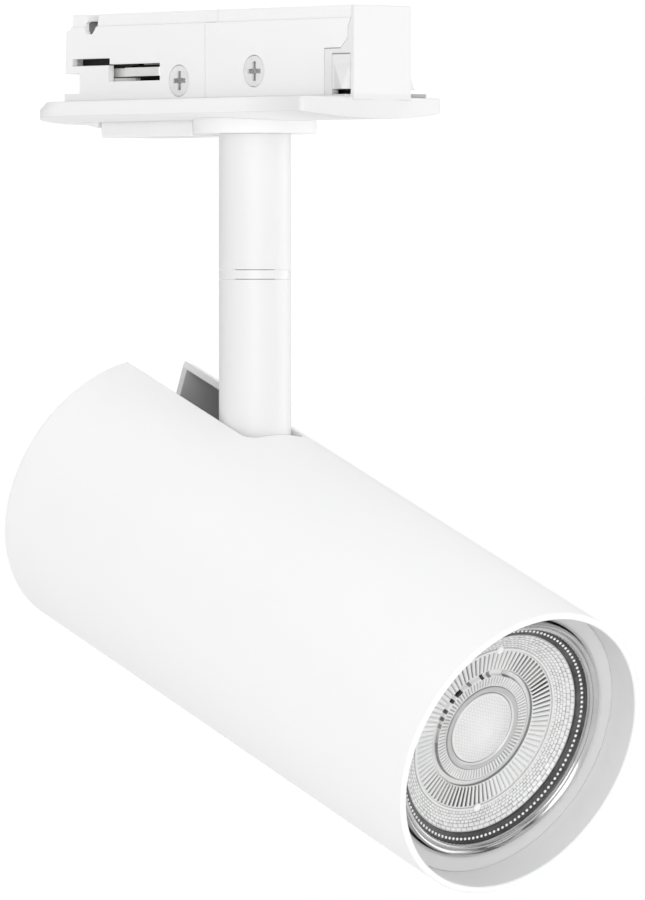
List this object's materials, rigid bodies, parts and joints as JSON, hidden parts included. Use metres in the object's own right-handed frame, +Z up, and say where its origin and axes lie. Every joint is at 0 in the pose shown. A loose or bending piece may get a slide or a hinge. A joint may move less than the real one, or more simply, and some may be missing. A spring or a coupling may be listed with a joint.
{
  "type": "track spotlight",
  "caption": "Track spotlight with a plug-in adapter, a round swivelling stem and a tilting cylindrical head that holds a twist-lock reflector lamp.",
  "frame": {"origin": "on the stem axis at the top face of the raised land along the adapter's flange, the face that seats against the track", "axes": "+Z up along the stem axis into the track; +X along the adapter towards its latch end, which is also the heading of the beam at rest; -Y is the side with the housing screws"},
  "size_m": [0.1454, 0.06, 0.1746],
  "materials": {
    "moulded_white": "satin moulded polycarbonate",
    "white_paint": "fine satin powder coat on aluminium",
    "ring_white": "smooth acetal",
    "zinc_steel": "zinc-plated steel",
    "screw_steel": "bright zinc plate",
    "spring_steel": "spring wire",
    "contact_metal": "nickel-plated brass",
    "dark_plastic": "black glass-filled polyamide",
    "pivot_alloy": "turned aluminium",
    "nylon": "natural polyamide",
    "ceramic": "glazed steatite ceramic",
    "lead_silicone": "silicone insulation",
    "glass_sleeve": "woven glass-fibre sleeve",
    "lamp_plastic": "heat-resistant plastic",
    "lamp_reflector": "pressed glass lamp body",
    "lamp_rim": "fire-polished glass rim",
    "clear_lens": "clear moulded lens",
    "board": "white solder mask on board",
    "phosphor": "domed silicone over the chips"
  },
  "bodies": {
    "adapter": {"flange_base": "moulded_white", "housing_body": "moulded_white", "near_cover_rear": "moulded_white", "near_cover_front": "moulded_white", "housing_screws": "screw_steel", "contact_carrier": "dark_plastic", "live_contact": "contact_metal", "neutral_contact": "contact_metal", "earth_contact": "contact_metal", "stem_collar": "moulded_white", "swivel_nipple": "zinc_steel", "nut_washer": "zinc_steel", "stem_nut": "zinc_steel", "upper_stem": "white_paint", "swivel_ring": "ring_white", "swivel_washer": "zinc_steel", "swivel_nut": "zinc_steel", "adapter_leads": "lead_silicone", "release_spring": "spring_steel"},
    "near_finger": {"near_snap_finger": "moulded_white"},
    "far_finger": {"far_snap_finger": "moulded_white"},
    "release": {"release_button": "moulded_white", "release_bar": "dark_plastic"},
    "tongue": {"lock_tongue": "dark_plastic"},
    "stem": {"lower_stem": "white_paint", "stop_pin": "zinc_steel", "pivot_block": "pivot_alloy", "stem_leads": "lead_silicone"},
    "head": {"head_tube": "white_paint", "baffle_ring": "moulded_white", "head_bracket": "zinc_steel", "bracket_screws": "screw_steel", "pivot_bolt": "zinc_steel", "pivot_nut": "zinc_steel", "friction_washers": "nylon", "lampholder": "ceramic", "holder_screws": "screw_steel", "holder_contacts": "contact_metal", "lamp_leads": "lead_silicone", "lead_sleeves": "glass_sleeve"},
    "lamp": {"lamp_cap": "lamp_plastic", "lamp_pins": "contact_metal", "lamp_shell": "lamp_reflector", "lamp_bezel": "lamp_rim", "lamp_lens": "clear_lens", "led_board": "board", "led_emitter": "phosphor", "driver_board": "board"}
  },
  "joints": [
    {"name": "stem_swivel", "type": "hinge", "parent": "adapter", "child": "stem", "pos_m": [0, 0, -0.0366], "axis": [0, 0, 1], "range_deg": [-168, 168]},
    {"name": "head_tilt", "type": "hinge", "parent": "stem", "child": "head", "pos_m": [0, 0, -0.0822], "axis": [0, 1, 0], "range_deg": [0, 68.26]},
    {"name": "lamp_twist", "type": "hinge", "parent": "head", "child": "lamp", "pos_m": [0, 0, -0.09727], "axis": [0.9289, 0, -0.3704], "range_deg": [0, 35]},
    {"name": "release_press", "type": "slide", "parent": "adapter", "child": "release", "axis": [0, 0, 1], "range_m": [0, 0.0024], "stiffness_N_per_m": 800, "springref_m": -0.001, "deforming": ["release_spring"]},
    {"name": "tongue_retract", "type": "slide", "parent": "adapter", "child": "tongue", "axis": [0, -1, 0], "range_m": [0, 0.0042]},
    {"name": "near_finger_flex", "type": "hinge", "parent": "adapter", "child": "near_finger", "pos_m": [0.0351, -0.00685, 0.008], "axis": [1, 0, 0], "range_deg": [0, 17], "stiffness_Nm_per_rad": 0.05, "springref_deg": -2.86},
    {"name": "far_finger_flex", "type": "hinge", "parent": "adapter", "child": "far_finger", "pos_m": [0.0351, 0.00685, 0.008], "axis": [-1, 0, 0], "range_deg": [0, 17], "stiffness_Nm_per_rad": 0.05, "springref_deg": -2.86}
  ],
  "couplings": [
    {"joint": "tongue_retract", "follows": "release_press", "ratio": 1.75}
  ]
}
